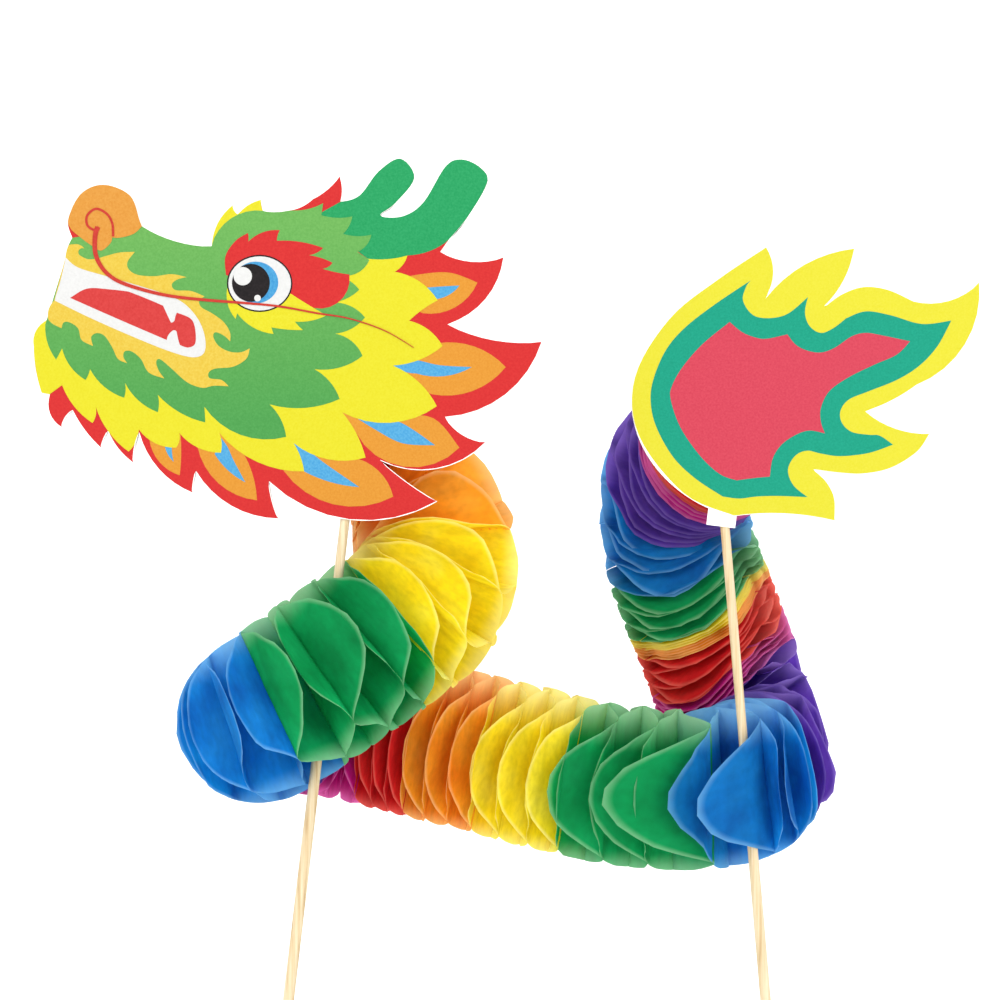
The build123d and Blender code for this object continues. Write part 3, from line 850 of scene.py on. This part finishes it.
def tissue_piece(name, numbers, finish):
    """Sheets joined into one piece, each point marked with its place on its sheet."""
    shell_points, faces, marks = [], [], []
    columns, rows = grid_x.shape
    for number in numbers:
        shape = sheet_shape(number)
        shape, stick_gap = clear_of_sticks(shape)
        first = len(shell_points)
        shell_points += [tuple(p * MM) for p in shape.reshape(-1, 3)]
        level = np.full_like(grid_x, float(number))
        marks.append(np.stack([grid_x, grid_g, level], axis=-1).reshape(-1, 3))
        for column in range(columns - 1):
            for row in range(rows - 1):
                if stick_gap[column:column + 2, row:row + 2].max() < STICK_CLEARANCE:
                    continue
                corner = first + column * rows + row
                faces.append((corner, corner + 1, corner + rows + 1, corner + rows))
    mesh = bpy.data.meshes.new(name)
    mesh.from_pydata(shell_points, [], faces)
    spots = mesh.attributes.new("sheet_place", "FLOAT_VECTOR", "POINT")
    spots.data.foreach_set("vector", np.concatenate(marks).astype(np.float32).ravel())
    mesh.polygons.foreach_set("use_smooth", [True] * len(mesh.polygons))
    mesh.materials.append(finish)
    piece = bpy.data.objects.new(name, mesh)
    bpy.context.scene.collection.objects.link(piece)
    return piece


def darkened(tree, colour, pattern, stops, strength):
    """A colour multiplied by the greys of a pattern."""
    mix = tree.nodes.new("ShaderNodeMix")
    mix.data_type = "RGBA"
    mix.blend_type = "MULTIPLY"
    mix.inputs["Factor"].default_value = strength
    tree.links.new(colour, mix.inputs["A"])
    tree.links.new(shades(tree, pattern, stops), mix.inputs["B"])
    return mix.outputs["Result"]


def painted_light_outwards(tree, distance, begins, strength):
    """How much painted light to mix in: nothing until it begins, growing smoothly to its strength at the
    sheet's edge.
    """
    fade = tree.nodes.new("ShaderNodeMapRange")
    fade.interpolation_type = "SMOOTHSTEP"
    fade.inputs["From Min"].default_value = begins
    fade.inputs["From Max"].default_value = SHEET_RADIUS
    fade.inputs["To Max"].default_value = strength
    tree.links.new(distance, fade.inputs["Value"])
    return fade.outputs["Result"]


WHITE = (1, 1, 1, 1)
FIBRE_GREY = (0.72, 0.72, 0.72, 1)
# the grey of the shade painted along the creases of the paper
CREASE_SHADE_GREY = (0.74, 0.74, 0.74, 1)
# a painted highlight along each sheet's cut edge: how wide it is in mm, and its strength
CUT_EDGE_WIDTH = 1.3
CUT_EDGE_HIGHLIGHT = 0.45
# painted light at the lower and upper ends of the cells, where a single layer is lit from behind: side, how
# far out it begins, and its strength
CELL_END_BACKLIGHT = ((-1, 14, 0.8), (1, 21, 0.45))
LIGHT_THROUGH = 0.55


def tissue_finish(colour, deep, middle, light, painted_light_colour):
    """Dyed tissue paper: light passes through it. Shade is painted along its creases, and painted light
    makes it lighter at its cut edges and at the ends of its cells.
    """
    finish, tree, shader = new_finish("tissue_" + colour, 0.75, 0.15)
    spot = tree.nodes.new("ShaderNodeAttribute")
    spot.attribute_name = "sheet_place"
    fibre = grain(tree, spot.outputs["Vector"], (1, 0.35, 11), 1.1, 7)
    blotch = grain(tree, spot.outputs["Vector"], (1, 0.6, 5), 11, 2)
    crease_shade_pattern = grain(tree, spot.outputs["Vector"], (1, 0.09, 5), 3.2, 1)
    dyed = shades(tree, blotch, [(0.28, deep), (0.5, middle), (0.74, light)])
    mottled = darkened(tree, dyed, fibre, [(0.3, FIBRE_GREY), (0.62, WHITE)], 0.5)
    # painted shade: soft darker streaks stand in for the shade along the creases of the paper
    crease_shaded = darkened(tree, mottled, crease_shade_pattern, [(0.34, CREASE_SHADE_GREY), (0.6, WHITE)], 0.6)
    # how near the cut edge, and how near the open ends of the cells: there a lighter colour is painted in
    # as light
    split = tree.nodes.new("ShaderNodeSeparateXYZ")
    tree.links.new(spot.outputs["Vector"], split.inputs["Vector"])
    flat_place = tree.nodes.new("ShaderNodeCombineXYZ")
    tree.links.new(split.outputs["X"], flat_place.inputs["X"])
    tree.links.new(split.outputs["Y"], flat_place.inputs["Y"])
    from_middle = tree.nodes.new("ShaderNodeVectorMath")
    from_middle.operation = "LENGTH"
    tree.links.new(flat_place.outputs["Vector"], from_middle.inputs[0])
    from_centre = from_middle.outputs["Value"]
    painted_light_share = painted_light_outwards(tree, from_centre, SHEET_RADIUS - CUT_EDGE_WIDTH, CUT_EDGE_HIGHLIGHT)
    for side, begins, strength in CELL_END_BACKLIGHT:
        towards_end = tree.nodes.new("ShaderNodeMath")
        towards_end.operation = "MULTIPLY"
        tree.links.new(split.outputs["Y"], towards_end.inputs[0])
        towards_end.inputs[1].default_value = side
        painted_end_light = painted_light_outwards(tree, towards_end.outputs["Value"], begins, strength)
        either = tree.nodes.new("ShaderNodeMath")
        either.operation = "MAXIMUM"
        tree.links.new(painted_light_share, either.inputs[0])
        tree.links.new(painted_end_light, either.inputs[1])
        painted_light_share = either.outputs["Value"]
    # painted light: the pale colour is a painted highlight at the cut edge and painted light through a
    # single layer at the cell ends
    with_painted_light = tree.nodes.new("ShaderNodeMix")
    with_painted_light.data_type = "RGBA"
    tree.links.new(painted_light_share, with_painted_light.inputs["Factor"])
    tree.links.new(crease_shaded, with_painted_light.inputs["A"])
    with_painted_light.inputs["B"].default_value = painted_light_colour
    tree.links.new(with_painted_light.outputs["Result"], shader.inputs["Base Color"])
    relief(tree, shader, fibre, 0.0004, 0.35)
    through = tree.nodes.new("ShaderNodeBsdfTranslucent")
    tree.links.new(with_painted_light.outputs["Result"], through.inputs["Color"])
    mixed = tree.nodes.new("ShaderNodeMixShader")
    mixed.inputs["Fac"].default_value = LIGHT_THROUGH
    tree.links.new(shader.outputs["BSDF"], mixed.inputs[1])
    tree.links.new(through.outputs["BSDF"], mixed.inputs[2])
    tree.links.new(mixed.outputs["Shader"], tree.nodes["Material Output"].inputs["Surface"])
    return finish


# for each colour: where it is deepest, as it mostly is, where it is lightest, and the pale colour painted
# as light at cut edges and cell ends
TISSUE_DYES = {
    "red": ((206, 18, 28), (228, 34, 40), (236, 54, 50), (244, 140, 124)),
    "orange": ((246, 146, 26), (250, 168, 38), (252, 186, 66), (254, 220, 160)),
    "yellow": ((250, 222, 18), (254, 236, 34), (255, 244, 74), (255, 249, 176)),
    "green": ((4, 146, 78), (10, 166, 92), (24, 180, 106), (170, 220, 176)),
    "blue": ((8, 98, 182), (14, 128, 208), (34, 152, 226), (140, 202, 240)),
    "purple": ((68, 38, 146), (88, 52, 164), (104, 68, 178), (150, 122, 206)),
    "magenta": ((190, 18, 132), (212, 32, 152), (224, 62, 168), (236, 150, 206)),
}
TISSUE = {
    colour: tissue_finish(colour, *[dye(*shade) for shade in depths])
    for colour, depths in TISSUE_DYES.items()
}


for band, (colour, _) in enumerate(BANDS, 1):
    node = f"tissue_{band:02d}_{colour}"
    first = (band - 1) * SHEETS_IN_A_BAND
    numbers = list(range(first, first + SHEETS_IN_A_BAND))
    body = BAND_BODIES[band - 1]
    bends_in = band > 1 and BAND_BODIES[band - 2] != body
    bends_out = band < len(BANDS) and BAND_BODIES[band] != body
    halves = [("", numbers, bends_in, bends_out)]
    if bends_in or bends_out:
        middle = SHEETS_IN_A_BAND // 2
        halves = [("_near", numbers[:middle], bends_in, False), ("_far", numbers[middle:],
        False, bends_out)]
    for part, sheets, joins_before, joins_after in halves:
        piece = tissue_piece(f"honeycomb_{band:02d}_{colour}{part}", sheets, TISSUE[colour])
        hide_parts(node)
        if joins_before:
            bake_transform(piece)
        elif joins_after:
            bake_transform(piece)
        else:
            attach(piece, body)

# ---------------------------------------------------------------------------------------
# Studio: a seamless pale sweep well below and behind the dragon, which is held up in the
# air, soft light from all round with a broad soft lamp above on the left, and the camera
# level with the dragon's cheek.
# ---------------------------------------------------------------------------------------
SWEEP_HALF_WIDTH = 3.0
SWEEP_FRONT = -2.0
SWEEP_BACK = 1.6
SWEEP_HEIGHT = 3.0
SWEEP_CURVE = 0.7
FLOOR_LEVEL = -0.17
CAMERA_PLACE = (0.073, -0.9, 0.188)
CAMERA_LENS = 97.2
CAMERA_SENSOR = 36

sweep_profile = [(SWEEP_FRONT, 0.0), (0.0, 0.0)]
for k in range(13):
    turn = math.pi / 2 * k / 12
    curve_y = SWEEP_BACK - SWEEP_CURVE + SWEEP_CURVE * math.sin(turn)
    sweep_profile.append((curve_y, SWEEP_CURVE * (1 - math.cos(turn))))
sweep_profile.append((SWEEP_BACK, SWEEP_HEIGHT))
sweep_points = [(side * SWEEP_HALF_WIDTH, y, z + FLOOR_LEVEL) for y, z in sweep_profile for side in (-1, 1)]
sweep_faces = [(2 * k, 2 * k + 1, 2 * k + 3, 2 * k + 2) for k in range(len(sweep_profile) - 1)]
sweep_mesh = bpy.data.meshes.new("studio_sweep")
sweep_mesh.from_pydata(sweep_points, [], sweep_faces)
sweep_mesh.polygons.foreach_set("use_smooth", [True] * len(sweep_mesh.polygons))
sweep = bpy.data.objects.new("studio_sweep", sweep_mesh)
bpy.context.scene.collection.objects.link(sweep)
backdrop_paper, tree, shader = new_finish("studio_paper", 0.9, 0.1)
shader.inputs["Base Color"].default_value = (0.93, 0.93, 0.93, 1)
sweep_mesh.materials.append(backdrop_paper)

world = bpy.data.worlds.new("studio_air")
world.use_nodes = True
world.node_tree.nodes["Background"].inputs["Color"].default_value = (1, 1, 1, 1)
world.node_tree.nodes["Background"].inputs["Strength"].default_value = 1.1
bpy.context.scene.world = world


def soft_lamp(name, place, aim, size, power):
    """A square soft lamp turned towards a point."""
    lamp = bpy.data.lights.new(name, "AREA")
    lamp.size = size
    lamp.energy = power
    holder = bpy.data.objects.new(name, lamp)
    holder.location = place
    holder.rotation_euler = (Vector(aim) - Vector(place)).to_track_quat("-Z", "Y").to_euler()
    bpy.context.scene.collection.objects.link(holder)


dragon_middle = (0.08, 0.04, 0.17)
soft_lamp("key_lamp", (-0.7, -1.1, 1.3), dragon_middle, 0.8, 17)
soft_lamp("fill_lamp", (1.1, -1.0, 0.7), dragon_middle, 0.9, 8)
soft_lamp("back_lamp", (0.3, 1.0, 1.4), dragon_middle, 0.9, 12)

lens = bpy.data.cameras.new("camera")
lens.lens = CAMERA_LENS
lens.sensor_width = CAMERA_SENSOR
camera = bpy.data.objects.new("camera", lens)
camera.location = CAMERA_PLACE
camera.rotation_euler = (math.radians(90), 0, 0)
bpy.context.scene.collection.objects.link(camera)
bpy.context.scene.camera = camera
bpy.context.scene.view_settings.view_transform = "Standard"
